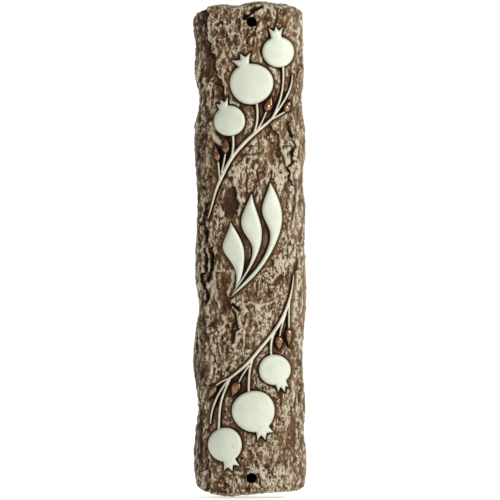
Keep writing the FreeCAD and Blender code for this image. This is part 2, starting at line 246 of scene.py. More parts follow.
def outline_tree(segments, step=0.06):
    """Search tree of points spaced along the segments."""
    samples = []
    for start, end in segments:
        count = max(2, int(np.linalg.norm(end - start) / step) + 1)
        shares = np.linspace(0, 1, count)[:, None]
        samples.append(start + (end - start) * shares)
    samples = np.concatenate(samples)
    tree = KDTree(len(samples))
    for index, sample in enumerate(samples):
        tree.insert((sample[0], sample[1], 0), index)
    tree.balance()
    return tree


def inside(x, z, segments):
    """Which points lie inside the closed outline."""
    crossings = np.zeros(len(x), int)
    for (x0, z0), (x1, z1) in segments:
        spans = (z0 > z) != (z1 > z)
        if spans.any():
            cut = x0 + (z - z0) * (x1 - x0) / ((z1 - z0) or 1e-12)
            crossings += spans & (x < cut)
    return crossings % 2 == 1


def nearest(tree, x, z):
    """Distance to the outline and the closest outline point."""
    found = [tree.find((a, b, 0)) for a, b in zip(x, z)]
    distance = np.array([hit[2] for hit in found])
    closest = np.array([hit[0][:2] for hit in found])
    return distance, closest


# ==== mesh making ====

def add_object(name, data):
    """Puts a new object in the scene."""
    made = bpy.data.objects.new(name, data)
    bpy.context.scene.collection.objects.link(made)
    return made


def make_object(name, points, faces, smooth_faces=True):
    """Mesh object from points in millimetres."""
    mesh = bpy.data.meshes.new(name)
    mesh.from_pydata((np.asarray(points) * MM).tolist(), [], faces)
    mesh.validate()
    mesh.polygons.foreach_set("use_smooth", [smooth_faces] * len(mesh.polygons))
    return add_object(name, mesh)


def set_attribute(piece, name, values):
    """Stores one number per point, for a material to read by name."""
    attribute = piece.data.attributes.new(name, "FLOAT", "POINT")
    attribute.data.foreach_set("value", np.asarray(values, np.float32))


def apply_modifiers(piece):
    """Bakes the piece's modifiers into its mesh."""
    graph = bpy.context.evaluated_depsgraph_get()
    made = bpy.data.meshes.new_from_object(piece.evaluated_get(graph))
    piece.modifiers.clear()
    piece.data = made


def cut_away(piece, cutter):
    """Subtracts a closed cutter from the piece and deletes the cutter."""
    modifier = piece.modifiers.new("cut", "BOOLEAN")
    modifier.operation = "DIFFERENCE"
    modifier.solver = "EXACT"
    modifier.object = cutter
    apply_modifiers(piece)
    bpy.data.objects.remove(cutter)


def slot_ring(length, width, steps=24):
    """Outline of a straight slot with round ends, as (x, z) points."""
    radius = width / 2
    straight = length / 2 - radius
    angles = np.linspace(0, math.pi, steps)
    top = np.stack([radius * np.cos(angles), straight + radius * np.sin(angles)], 1)
    return np.concatenate([top, -top])


def plug(name, ring, near_y, far_y):
    """Closed straight-walled solid over an (x, z) ring between two depths."""
    count = len(ring)
    points = [(x, y, z) for y in (near_y, far_y) for x, z in ring]
    faces = [list(range(count)), list(range(2 * count - 1, count - 1, -1))]
    faces += [[i, i + count, (i + 1) % count + count, (i + 1) % count] for i in range(count)]
    piece = make_object(name, points, faces, False)
    mesh = bmesh.new()
    mesh.from_mesh(piece.data)
    bmesh.ops.recalc_face_normals(mesh, faces=mesh.faces)
    mesh.to_mesh(piece.data)
    mesh.free()
    return piece


def circle_ring(radius, centre_z, steps=40):
    """Outline of a round hole in the middle of the width."""
    angles = np.linspace(0, 2 * math.pi, steps, endpoint=False)
    return np.stack([radius * np.cos(angles), centre_z + radius * np.sin(angles)], 1)


# ==== the stone shell ====

def end_rows():
    """(shrink, share of the end's bulge) for the rows that close one end, evenly spaced."""
    samples = 4000
    usual_bulge = 4  # of an end, good enough for spacing its rows
    spacing = SKIN_CELL * 1.15
    shrink = np.linspace(1, 0, samples)
    rise = (1 - shrink ** END_SQUARENESS) ** (1 / END_SQUARENESS)
    steps = np.hypot(np.diff(shrink) * DEPTH, np.diff(rise) * usual_bulge)
    length = np.concatenate([[0], np.cumsum(steps)])
    count = int(length[-1] / spacing)
    wanted = np.linspace(0, length[-1], count + 1)[1:]
    return np.stack([np.interp(wanted, length, shrink), np.interp(wanted, length, rise)], 1)


def skin_grid():
    """Rows of points over the sides, the front and both ends of the smooth case."""
    samples = 600
    least_bulge = 1.2
    rounding_passes = 14
    sides, ends = case_edges()
    columns = int(SECTION_LENGTH / SKIN_CELL)
    straight = np.linspace(-END_START, END_START, int(2 * END_START / SKIN_CELL) + 1)
    closing = end_rows()
    rows = [(-END_START, shrink, rise, 0) for shrink, rise in closing[::-1]]
    rows += [(z, 1.0, 0.0, 0) for z in straight]
    rows += [(END_START, shrink, rise, 1) for shrink, rise in closing]
    grid = []
    for z, shrink, rise, end in rows:
        left = np.interp(z, sides[0][:, 2], sides[0][:, 0])
        right = np.interp(z, sides[1][:, 2], sides[1][:, 0])
        across = np.linspace(left, right, samples)
        x = np.concatenate([[left], across, [right]])
        depth = np.concatenate([[0], front_depth(across), [0]])
        length = np.concatenate([[0], np.cumsum(np.hypot(np.diff(x), np.diff(depth)))])
        wanted = np.linspace(0, length[-1], columns)
        row_x = MID_X + (np.interp(wanted, length, x) - MID_X) * shrink
        row_y = -np.interp(wanted, length, depth) * shrink
        sign = 1 if end else -1
        tip = np.interp(row_x, ends[end][:, 0], ends[end][:, 2]) * sign
        bulge = np.maximum(tip - END_START, least_bulge)
        row_z = z + sign * bulge * rise
        grid.append(np.stack([row_x, row_y, row_z], 1))
    grid = np.array(grid)
    for _ in range(rounding_passes):
        grid[:, 1:-1] = (grid[:, :-2] + 2 * grid[:, 1:-1] + grid[:, 2:]) / 4
    return grid


def grid_normals(grid):
    """Outward direction at every point of the skin."""
    along = np.gradient(grid, axis=0)
    across = np.gradient(grid, axis=1)
    normal = np.cross(across, along)
    size = np.linalg.norm(normal, axis=2, keepdims=True)
    normal = normal / np.maximum(size, 1e-9)
    normal[0] = (0, 0, -1)
    normal[-1] = (0, 0, 1)
    return normal


def line_field(x, z, line):
    """Distance to a line of (x, z) points and the side: positive to the right of its direction."""
    best = np.full(len(x), 1e9)
    side = np.zeros(len(x))
    for (x0, z0), (x1, z1) in zip(line, line[1:]):
        run_x, run_z = x1 - x0, z1 - z0
        share = np.clip(((x - x0) * run_x + (z - z0) * run_z) / (run_x ** 2 + run_z ** 2), 0, 1)
        off_x, off_z = x - x0 - share * run_x, z - z0 - share * run_z
        distance = np.hypot(off_x, off_z)
        closer = distance < best
        best = np.where(closer, distance, best)
        side = np.where(closer, np.sign(off_x * run_z - off_z * run_x), side)
    return best, side


def ornament_distance(points, outlines):
    """Distance in the XZ plane from each front point to the ornaments, negative under them."""
    far_away = 20.0
    front_y = -8
    distance = np.full(len(points), far_away)
    front = np.flatnonzero(points[:, 1] < front_y)
    x, z = points[front, 0], points[front, 2]
    tree = outline_tree(np.concatenate(list(outlines.values())))
    signed = nearest(tree, x, z)[0]
    for segments in outlines.values():
        low, high = segments.min((0, 1)), segments.max((0, 1))
        near = np.flatnonzero((x > low[0]) & (x < high[0]) & (z > low[1]) & (z < high[1]))
        signed[near[inside(x[near], z[near], segments)]] *= -1
    distance[front] = signed
    return distance


def spot_field(x, z, centre, size, softness):
    """1 in the middle of an oval spot, 0 outside it."""
    reach = np.hypot((x - centre[0]) / size[0], (z - centre[1]) / size[1])
    return 1 - smooth(1 - softness, 1.0, reach)


def creases(points, size, seed, sharpness):
    """Thin wandering lines: 1 on the line, 0 away from it."""
    return np.clip(1 - sharpness * np.abs(noise(points, size, seed)), 0, 1)


def blurred(values, cells):
    """Values of the skin grid averaged over about this many cells each way, three times over."""
    width = 2 * cells + 1
    for _ in range(6):  # along one axis, then along the other
        total = np.cumsum(np.pad(values, ((cells + 1, cells), (0, 0)), mode="edge"), axis=0)
        values = ((total[width:] - total[:-width]) / width).T
    return values


def rough_ground(points, warp, margin):
    """Bark-like ground: chips with sharp edges, upright fibres, worm-like ridges, cracks and pits."""
    bent = points + 0.7 * warp
    inner = 1 - margin
    chips = layered(bent, (3.4, 3.4, 5), 3, seed=2) * 3.2
    level = np.floor(chips)
    chips = level + smooth(0.62, 1, chips - level)
    fibres = layered(points + 0.6 * warp, (0.66, 0.66, 2.3), 2, seed=3)
    bark = layered(points + 0.5 * warp, (1.3, 1.3, 9), 3, seed=9)
    patches = smooth(-0.2, 0.3, noise(points, (7, 7, 8), seed=7)) * inner
    worms = creases(bent, (1.7, 1.7, 2.5), seed=4, sharpness=3.4) * patches
    patches = smooth(0, 0.5, noise(points, (8, 8, 9), seed=17))
    walls = cell_walls(bent, (1.9, 1.9, 2.6), seed=24) * patches * inner
    patches = smooth(-0.1, 0.4, noise(points, 6, seed=18))
    splits = creases(points + warp, (4.2, 4.2, 11), seed=10, sharpness=9) * patches
    grain = layered(points, (0.7, 0.7, 0.95), 2, seed=5, fade=0.8)
    pits = smooth(0.4, 0.8, noise(points + 0.4 * warp, (0.95, 0.95, 1.4), seed=6))
    return (0.15 * chips + (0.38 + 0.04 * margin) * fibres + (0.14 + 0.34 * margin) * bark + 0.28 * worms
            + 0.26 * walls - 0.4 * splits + 0.19 * grain - 0.3 * pits)


def add_features(x, z, patchy, height, halo):
    """Adds the listed features to the height; also gives their smooth, dark and cream masks, the dark
    being dark wash and painted shade.
    """
    bare = 1 - halo
    calm = halo.copy()
    wash_and_shade = np.zeros(len(x))
    ridge = np.zeros(len(x))
    for centre, size, depth, softness in HOLLOWS:
        spot = spot_field(x, z, centre, size, softness)
        height -= depth * spot
        calm = np.maximum(calm, spot)
    for line, bank, fade in STEPS:
        away, side = line_field(x, z, line)
        low_side = smooth(0, 0.5, away * side)
        lip = 0.2 * hump(away, 0.6)
        height += (lip - bank * low_side * np.exp(-away / fade)) * bare
        foot = hump(away - 0.9, 0.5) * (side > 0)
        # dark along the foot of the step on its low side: painted shadow, with some dark wash
        wash_and_shade = np.maximum(wash_and_shade, 0.6 * foot * bare * smooth(-0.6, 0.4, patchy))
        brushed = hump(away * side + 0.1, 0.28)
        ridge = np.maximum(ridge, 0.7 * brushed * bare * smooth(-0.3, 0.6, patchy))
    for line, width in SLIVERS:
        away = line_field(x, z, line)[0] + 0.12 * patchy
        end = np.minimum(*[np.hypot(x - line[i][0], z - line[i][1]) for i in (0, -1)])
        crest = hump(away, width * (0.35 + 0.65 * smooth(0, 1.8, end)))
        height += 0.22 * crest
        ridge = np.maximum(ridge, 0.9 * smooth(0.2, 0.8, crest))
    for line, width, depth in CRACKS:
        away = line_field(x, z, line)[0] + 0.16 * patchy
        dent = hump(np.maximum(away, 0), width)
        height -= depth * dent
        # dark inside the crack: dark wash and painted shade
        wash_and_shade = np.maximum(wash_and_shade, min(depth, 0.9) * smooth(0.3, 0.9, dent))
        ridge = ridge * (1 - smooth(0.1, 0.5, dent))
    return height, calm, wash_and_shade, ridge


def stone_relief(points, distance, shape):
    """Height of the rough stone above the smooth case, with the masks that colour it."""
    margin_x = (13.5, 18)   # between these the front turns into the side
    side_y = (-13.5, -9)    # and between these the cream brushing gets weaker
    halo_depth, groove_depth, crowd_depth = 0.45, 0.3, 0.25
    warp = np.stack([noise(points, 2.2, seed) for seed in (11, 12, 13)], 1)
    fine_warp = np.stack([noise(points, 0.9, seed) for seed in (14, 15, 16)], 1)
    x = points[:, 0] + 0.75 * warp[:, 0] + 0.45 * fine_warp[:, 0]
    z = points[:, 2] + 0.85 * warp[:, 2] + 0.45 * fine_warp[:, 2]
    margin = smooth(*margin_x, np.abs(points[:, 0] - MID_X))
    reach = distance + 0.35 * warp[:, 1]
    halo = 1 - smooth(0.4, 1.4, reach)
    patchy = noise(points, (1.6, 1.6, 2.4), seed=19) + 0.5 * fine_warp[:, 1]
    # dark outline round the ornaments: dark wash and painted shade
    groove = 1 - smooth(0.1, 0.75, distance + 0.14 * patchy)
    covered = (distance < 0.3).astype(float).reshape(shape)
    # crowd and gap mark where ornaments stand close; the dark that they add is painted shade
    crowd = smooth(0.3, 0.62, blurred(covered, 5).ravel() + 0.06 * patchy)
    gap = smooth(0.28, 0.6, blurred(covered, 2).ravel())
    # paler towards the right side and in the listed spots
    pale = 0.95 * smooth(10, 15, x)
    for centre, size, strength in PALE_SPOTS:
        pale = np.maximum(pale, strength * spot_field(x, z, centre, size, 0.9))
    pale = np.clip(pale * smooth(-0.9, 0.4, noise(points, (4, 4, 7), seed=20)), 0, 1) * (1 - crowd)

    ground = rough_ground(points, warp, margin)
    ground, calm, wash_and_shade, ridge = add_features(x, z, patchy, ground, halo)
    # where ornaments crowd, the ground also turns smooth and reddish brown, partly as painted shade
    calm = np.clip(np.maximum(calm, crowd), 0, 1)
    # near black in narrow gaps between ornaments: painted shade
    wash_and_shade = np.maximum(wash_and_shade, np.maximum(0.5 * crowd, 0.85 * gap) * (1 - 0.8 * ridge))
    coarse = blurred(ground.reshape(shape), 4).ravel()
    ground = ground + (coarse - ground) * 0.75 * calm
    height = 0.4 * layered(points, (11, 11, 17), 2, seed=1, fade=0.55) + ground
    height = height - halo_depth * halo - groove_depth * groove - crowd_depth * crowd

    field = ground.reshape(shape)
    shallow = np.maximum(field, blurred(field, 7) - 0.12)
    local = field - blurred(shallow, 2)
    broad = field - blurred(shallow, 8)
    tone = np.clip(2.3 * local + 1.1 * broad, -2, 0.95).ravel()
    cream = 0.14 + 0.5 * noise(points, (6, 6, 9), seed=8)
    for centre, size, strength in CREAM_SPOTS:
        cream = np.maximum(cream, strength * spot_field(x, z, centre, size, 0.7))
    cream = np.clip(cream, -0.2, 1) - 0.35 * smooth(*side_y, points[:, 1])
    masks = {"tone": tone, "cream": cream, "calm": calm, "ridge": np.clip(ridge, 0, 1),
             "wash_and_shade": np.clip(np.maximum(wash_and_shade, groove), 0, 1), "margin": margin, "pale": pale}
    return height, masks


def skin_faces(rows, columns):
    """Quads of the skin; the first and last row are single points at the ends' feet."""
    last = 1 + (rows - 2) * columns
    numbers = np.zeros((rows, columns), int)
    numbers[1:-1] = np.arange(1, last).reshape(rows - 2, columns)
    numbers[-1] = last
    numbers = numbers.tolist()
    faces = []
    for low, high in zip(numbers, numbers[1:]):
        faces += [list(dict.fromkeys(quad)) for quad in zip(low, low[1:], high[1:], high)]
    right = [row[-1] for row in numbers[:-1]]
    left = [row[0] for row in numbers[:0:-1]]
    faces.append((right + left)[::-1])
    return faces


def build_shell(outlines):
    """The stone body as one closed mesh, with its cavity, cover ledge, notch and screw holes."""
    grid = skin_grid()
    rows, columns = grid.shape[:2]
    flat = grid.reshape(-1, 3)
    distance = ornament_distance(flat, outlines)
    height, masks = stone_relief(flat, distance, (rows, columns))
    out = grid_normals(grid).reshape(-1, 3)
    out[:, 1] *= smooth(0, 1.2, -flat[:, 1])
    moved = (flat + out * height[:, None]).reshape(rows, columns, 3)
    moved[:, 0, 1] = 0
    moved[:, -1, 1] = 0

    def packed(values):
        """Grid values in the order of the mesh's points."""
        return np.concatenate([values[0][:1], values[1:-1].reshape(-1, *values.shape[2:]), values[-1][:1]])

    points = packed(moved)
    points[[0, -1], 1] = 0
    shell = make_object("stone_shell", points, skin_faces(rows, columns))
    for name, values in masks.items():
        set_attribute(shell, name, packed(values.reshape(rows, columns)))
    above = 1.0
    through = DEPTH + 3
    ledge_length = CAVITY["length"] + 2 * COVER_LEDGE
    ledge_width = CAVITY["width"] + 2 * COVER_LEDGE
    cuts = [
        (slot_ring(CAVITY["length"], CAVITY["width"]), CAVITY["depth"]),
        (slot_ring(ledge_length, ledge_width), COVER_THICKNESS),
        (circle_ring(NOTCH_RADIUS, -ledge_length / 2), NOTCH_DEPTH),
        (circle_ring(HOLE_RADIUS, -HOLE_Z), through),
        (circle_ring(HOLE_RADIUS, HOLE_Z), through),
    ]
    for ring, depth in cuts:
        cut_away(shell, plug("cutter", ring, above, -depth))
    return shell


def paint_shell(shell, stone, raw, bore):
    """Stone paint outside, bare resin on the back and in the cavity, near-black painted shade in the screw
    holes.
    """
    mesh = shell.data
    mesh.materials.clear()
    for material in (stone, raw, bore):
        mesh.materials.append(material)
    centres = np.zeros(len(mesh.polygons) * 3)
    mesh.polygons.foreach_get("center", centres)
    x, y, z = (centres.reshape(-1, 3) / MM).T
    slack = 0.02
    back = y > -slack
    pocket_x = CAVITY["width"] / 2 + COVER_LEDGE + 0.1
    pocket_y = -CAVITY["depth"] - 0.2
    pocket_z = CAVITY["length"] / 2 + 10
    pocket = (np.abs(x) < pocket_x) & (np.abs(z) < pocket_z) & (y > pocket_y)
    hole = np.hypot(x, np.abs(z) - HOLE_Z) < HOLE_RADIUS + slack
    index = np.where(hole, 2, np.where(back | pocket, 1, 0))
    mesh.polygons.foreach_set("material_index", index.astype(np.int32))
    mesh.polygons.foreach_set("use_smooth", index == 0)
    mesh.update()


# ==== raised ornaments ====

def relief_grid(segments, cell):
    """Square grid inside an outline: its points, which of them are on the border, its quads."""
    low, high = segments.min((0, 1)) - cell, segments.max((0, 1)) + cell
    xs = np.arange(low[0], high[0] + cell, cell)
    zs = np.arange(low[1], high[1] + cell, cell)
    middle_x, middle_z = np.meshgrid((xs[:-1] + xs[1:]) / 2, (zs[:-1] + zs[1:]) / 2, indexing="ij")
    kept = inside(middle_x.ravel(), middle_z.ravel(), segments).reshape(middle_x.shape)
    padded = np.pad(kept.astype(int), 1)
    use = padded[:-1, :-1] + padded[1:, :-1] + padded[:-1, 1:] + padded[1:, 1:]
    numbers = np.full(use.shape, -1)
    numbers[use > 0] = np.arange((use > 0).sum())
    numbers = numbers.tolist()
    grid_x, grid_z = np.meshgrid(xs, zs, indexing="ij")
    flat = np.stack([grid_x[use > 0], grid_z[use > 0]], 1)
    border = use[use > 0] < 4
    quads = []
    for i, j in np.argwhere(kept):
        quads.append([numbers[i][j], numbers[i + 1][j], numbers[i + 1][j + 1], numbers[i][j + 1]])
    return flat, border, quads


def border_edges(quads):
    """Directed edges that only one quad uses."""
    edges = [edge for quad in quads for edge in zip(quad, quad[1:] + quad[:1])]
    seen = set(edges)
    return [(start, end) for start, end in edges if (end, start) not in seen]


def even_out(values, border, quads, rounds):
    """Gives every point the mean of its neighbours, round by round, keeping the border as it is."""
    quads = np.array(quads)
    pairs = np.concatenate([quads[:, [i, (i + 1) % 4]] for i in range(4)])
    pairs = np.concatenate([pairs, pairs[:, ::-1]])
    count = np.bincount(pairs[:, 0], minlength=len(values))
    for _ in range(rounds):
        sums = [np.bincount(pairs[:, 0], column[pairs[:, 1]], len(values)) for column in values.T]
        values[~border] = (np.stack(sums, 1) / count[:, None])[~border]
    return values


def relief_piece(name, segments, rise, cell, softening):
    """Closed solid over an outline, sunk a little into the front.

    rise(depth inside, x, z) gives its height above the front and how dark its paint is, which is dark wash
    and painted shade.
    """
    sink = 1.2
    tree = outline_tree(segments)
    flat, border, quads = relief_grid(segments, cell)
    flat[border] = nearest(tree, *flat[border].T)[1]
    flat = even_out(flat, border, quads, rounds=4)
    x, z = flat.T
    within = nearest(tree, x, z)[0]
    within[border] = 0
    front = front_depth(x)
    count = len(flat)
    height, shade = rise(within, x, z)
    height = even_out(height[:, None], border, quads, softening)[:, 0]
    top = np.stack([x, -(front + height), z], 1)
    bottom = np.stack([x, -(front - sink), z], 1)
    faces = quads + [[i + count for i in quad[::-1]] for quad in quads]
    faces += [[end, start, start + count, end + count] for start, end in border_edges(quads)]
    piece = make_object(name, np.concatenate([top, bottom]), faces)
    polygons = piece.data.polygons
    polygons.foreach_set("use_smooth", [True] * len(quads) + [False] * (len(polygons) - len(quads)))
    # rim: how dark the paint is, dark wash and painted shade at the edges and in the hollows
    set_attribute(piece, "rim", np.concatenate([shade, np.ones(count)]))
    return piece


def rounded(within, radius):
    """Quarter-round shoulder: 0 at the outline, 1 from radius inwards."""
    share = 1 - np.clip(within / radius, 0, 1)
    return np.sqrt(1 - share ** 2)


def soft_noise(x, z, size, seed):
    """Noise that is the same at every depth."""
    return noise(np.stack([x, np.zeros(len(x)), z], 1), size, seed)


def fruit_rise(within, x, z):
    """Round shoulder, then a top that is nearly flat."""
    dome = 0.4 * smooth(0, 5, within)
    height = 0.55 + 0.75 * rounded(within, 1) + dome + 0.05 * soft_noise(x, z, 3.2, seed=41)
    return height, 1 - smooth(0, 0.7, within)


def cracked_fruit_rise(within, x, z):
    """The lower left fruit has a short hairline crack."""
    crack = hump(line_field(x, z, FRUIT_CRACK)[0], 0.18)
    height, shade = fruit_rise(within, x, z)
    return height - 0.3 * crack, np.maximum(shade, crack)


def flame_rise(within, x, z):
    """Round shoulder that goes on rising to the middle of the tongue."""
    crest = 0.3 * smooth(0, 2.6, within)
    height = 0.45 + 0.65 * rounded(within, 0.8) + crest + 0.04 * soft_noise(x, z, 3, seed=42)
    return height, 1 - smooth(0, 0.6, within)


def branch_rise(within, x, z):
    """Round twig."""
    height = 0.35 + 0.6 * rounded(within, 0.6) + 0.05 * soft_noise(x, z, 2, seed=43)
    return height, 1 - smooth(0, 0.3, within)


def bud_rise(segments):
    """Ball at the twig that narrows into a darker tail, with a shallow furrow down one side; the dark on
    the tail and in the furrow is painted shade.
    """
    ball_radius = 1.45
    ball_shift = 0.28         # towards the twig, as a share of half the bud's length
    points = segments.reshape(-1, 2)
    centre = (points.min(0) + points.max(0)) / 2
    spread = points - points.mean(0)
    axis = np.linalg.svd(spread, full_matrices=False)[2][0]
    if np.abs((spread @ axis).max()) < np.abs((spread @ axis).min()):
        axis = -axis
    half = np.abs(spread @ axis).max()
    across = np.array([-axis[1], axis[0]])
    if across[0] < 0:
        across = -across

    def rise(within, x, z):
        along = ((x - centre[0]) * axis[0] + (z - centre[1]) * axis[1]) / half
        off = (x - centre[0]) * across[0] + (z - centre[1]) * across[1]
        tail = smooth(-0.1, 0.8, along)
        reach = ((along + ball_shift) * half) ** 2 + off ** 2
        ball = np.sqrt(np.clip(1 - reach / ball_radius ** 2, 0, 1))
        furrow = hump(off + 0.95 + 0.3 * along, 0.22) * (1 - smooth(-0.3, 0.4, along))
        height = 0.25 + 0.6 * rounded(within, 0.6) * (1 - 0.4 * tail) + 0.9 * ball
        height -= 0.35 * furrow * rounded(within, 0.6)
        # dark at the foot: dark wash and painted shade; in the furrow and on the tail: painted shade
        return height, np.maximum(1 - smooth(0, 0.3, within), np.maximum(0.7 * furrow, 0.85 * tail))

    return rise


def build_ornaments(outlines):
    """Every raised ornament as a piece of its own, by the name of its CAD node."""
    made = {}
    for node, segments in outlines.items():
        if node.startswith("pomegranate"):
            rise = cracked_fruit_rise if node.endswith("lower_left") else fruit_rise
            cell, softening = 0.2, 8
        elif node.startswith("flame"):
            rise, cell, softening = flame_rise, 0.17, 16
        elif node.startswith("bud"):
            rise, cell, softening = bud_rise(segments), 0.12, 3
        else:
            rise, cell, softening = branch_rise, 0.13, 1
        made[node] = relief_piece(node + "_relief", segments, rise, cell, softening)
    return made


# ==== cover, scroll and film ====

def build_cover():
    """The pressed-in back cover, with its edges broken."""
    cover = add_object("back_cover_plate", nodes["back_cover"].data.copy())
    mesh = bmesh.new()
    mesh.from_mesh(cover.data)
    bmesh.ops.remove_doubles(mesh, verts=mesh.verts, dist=WELD * MM)
    bmesh.ops.dissolve_limit(mesh, angle_limit=math.radians(1), verts=mesh.verts, edges=mesh.edges)
    mesh.to_mesh(cover.data)
    mesh.free()
    bevel = cover.modifiers.new("edge", "BEVEL")
    bevel.width = 0.25 * MM
    bevel.segments = 3
    bevel.limit_method = "ANGLE"
    apply_modifiers(cover)
    cover.data.polygons.foreach_set("use_smooth", [False] * len(cover.data.polygons))
    return cover


def cad_tube(node, count):
    """Centre depth and radius of an upright CAD tube, and this many heights along it."""
    low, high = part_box(node)
    levels = np.linspace(low.z / MM, high.z / MM, count)
    return (low.y + high.y) / 2 / MM, (high.x - low.x) / 2 / MM, levels


def upright_wall(name, angles, levels, centre_y, skins, closed):
    """Thin wall round an upright axis; skins(level) gives the radii of its outer and inner skin."""
    points = []
    for level, z in enumerate(levels):
        for ring in skins(level):
            points += [(r * math.cos(a), centre_y + r * math.sin(a), z) for r, a in zip(ring, angles)]
    steps = len(angles)
    count = 2 * steps
    top = (len(levels) - 1) * count
    spans = [(i, (i + 1) % steps) for i in range(steps if closed else steps - 1)]
    edges = spans + [(k + steps, i + steps) for i, k in spans]
    if not closed:
        edges += [(steps, 0), (steps - 1, 2 * steps - 1)]
    faces = []
    for base in range(0, top, count):
        faces += [[base + i, base + k, base + k + count, base + i + count] for i, k in edges]
    for i, k in spans:
        faces.append([k, i, i + steps, k + steps])
        faces.append([top + i, top + k, top + k + steps, top + i + steps])
    return make_object(name, points, faces)


def build_scroll():
    """Blank parchment sheet rolled into a spiral, wavering a little from level to level."""
    centre_y, outer, levels = cad_tube("parchment_scroll", 25)
    turns = 7
    steps_per_turn = 44
    thickness = 0.32
    core = 1.1
    clearance = 0.03
    angles = np.linspace(0, turns * 2 * math.pi, turns * steps_per_turn)
    radius = core + (outer - thickness - core) * angles / angles[-1]

    def skins(level):
        wobble = 0.05 * np.sin(angles * 0.7 + level * 0.9)
        return radius + thickness + wobble - clearance, radius + wobble * 0.4 - clearance

    return upright_wall("parchment_roll", angles, levels, centre_y, skins, closed=False)


def build_film():
    """Clear wrapping film: a thin tube with a lapped seam and faint wrinkles."""
    centre_y, outer, levels = cad_tube("scroll_sleeve", 41)
    thickness = 0.12
    clearance = 0.17
    seam_angle = 1.9
    angles = np.linspace(0, 2 * math.pi, 72, endpoint=False)
    seam = 0.1 * hump(angles - seam_angle, 0.12)

    def skins(level):
        z = levels[level]
        wrinkle = 0.05 * np.sin(9 * angles + z * 0.35) * np.sin(z * 0.12 + 2 * angles)
        skin = outer - clearance + wrinkle + seam
        return skin, skin - thickness

    return upright_wall("film_wrap", angles, levels, centre_y, skins, closed=True)


# ==== materials ====

def paint(red, green, blue):
    """Shader colour from the usual 0..255 colour values."""
    def linear(value):
        value /= 255
        return value / 12.92 if value <= 0.04045 else ((value + 0.055) / 1.055) ** 2.4
    return (*map(linear, (red, green, blue)), 1.0)


class Finish:
    """A Principled material with short calls for the nodes that feed it."""

    def __init__(self, name, **fixed):
        self.material = bpy.data.materials.new(name)
        self.material.use_nodes = True
        self.tree = self.material.node_tree
        self.shader = self.tree.nodes["Principled BSDF"]
        for socket, value in fixed.items():
            self.shader.inputs[socket.replace("_", " ")].default_value = value
        self.place = self.node("TexCoord", "Object", {})

    def feed(self, socket, value):
        """Links an output to the socket, or sets a fixed value on it."""
        if isinstance(value, bpy.types.NodeSocket):
            self.tree.links.new(value, socket)
        else:
            socket.default_value = value

    def node(self, kind, output, inputs, **options):
        """Adds a node, sets its options, feeds its inputs and gives one of its outputs."""
        made = self.tree.nodes.new("ShaderNode" + kind)
        for option, value in options.items():
            setattr(made, option, value)
        for socket, value in inputs.items():
            self.feed(made.inputs[socket], value)
        return made.outputs[output]

    def noise(self, millimetres, detail=3.0, roughness=0.55, z_scale=1.0, swirl=0.0):
        place = self.place
        if z_scale != 1.0:
            place = self.node("Mapping", "Vector", {"Vector": place, "Scale": (1, 1, z_scale)})
        inputs = {"Vector": place, "Scale": 1 / (millimetres * MM), "Detail": detail}
        return self.node("TexNoise", "Fac", {**inputs, "Roughness": roughness, "Distortion": swirl})

    def cells(self, millimetres):
        return self.node("TexVoronoi", "Distance", {"Vector": self.place, "Scale": 1 / (millimetres * MM)})

    def mask(self, name):
        return self.node("Attribute", "Fac", {}, attribute_name=name)

    def math(self, operation, first, second=0.5, third=0.0):
        return self.node("Math", 0, {0: first, 1: second, 2: third}, operation=operation)

    def times(self, first, second):
        return self.math("MULTIPLY", first, second)

    def sum(self, *terms):
        """Total of (value, weight) pairs."""
        total = 0.0
        for value, weight in terms:
            total = self.math("MULTIPLY_ADD", value, weight, total)
        return total

    def span(self, value, low=0.3, high=0.7, to_low=0.0, to_high=1.0):
        """Eased map of low..high onto to_low..to_high."""
        inputs = {0: value, 1: low, 2: high, 3: to_low, 4: to_high}
        return self.node("MapRange", "Result", inputs, interpolation_type="SMOOTHSTEP")

    def blend(self, share, *colours):
        """Mixes two colours, each an output or three 0..255 values."""
        first, second = [paint(*c) if isinstance(c, tuple) else c for c in colours]
        return self.node("Mix", 2, {0: share, 6: first, 7: second}, data_type="RGBA")

    def bump(self, height, millimetres, strength=1.0):
        inputs = {"Height": height, "Distance": millimetres * MM, "Strength": strength}
        self.feed(self.shader.inputs["Normal"], self.node("Bump", "Normal", inputs))

    def colour(self, value):
        self.feed(self.shader.inputs["Base Color"], value)

    def roughness(self, value, to_low, to_high, low=0.3, high=0.7):
        rough = self.span(value, low, high, to_low, to_high)
        self.feed(self.shader.inputs["Roughness"], rough)


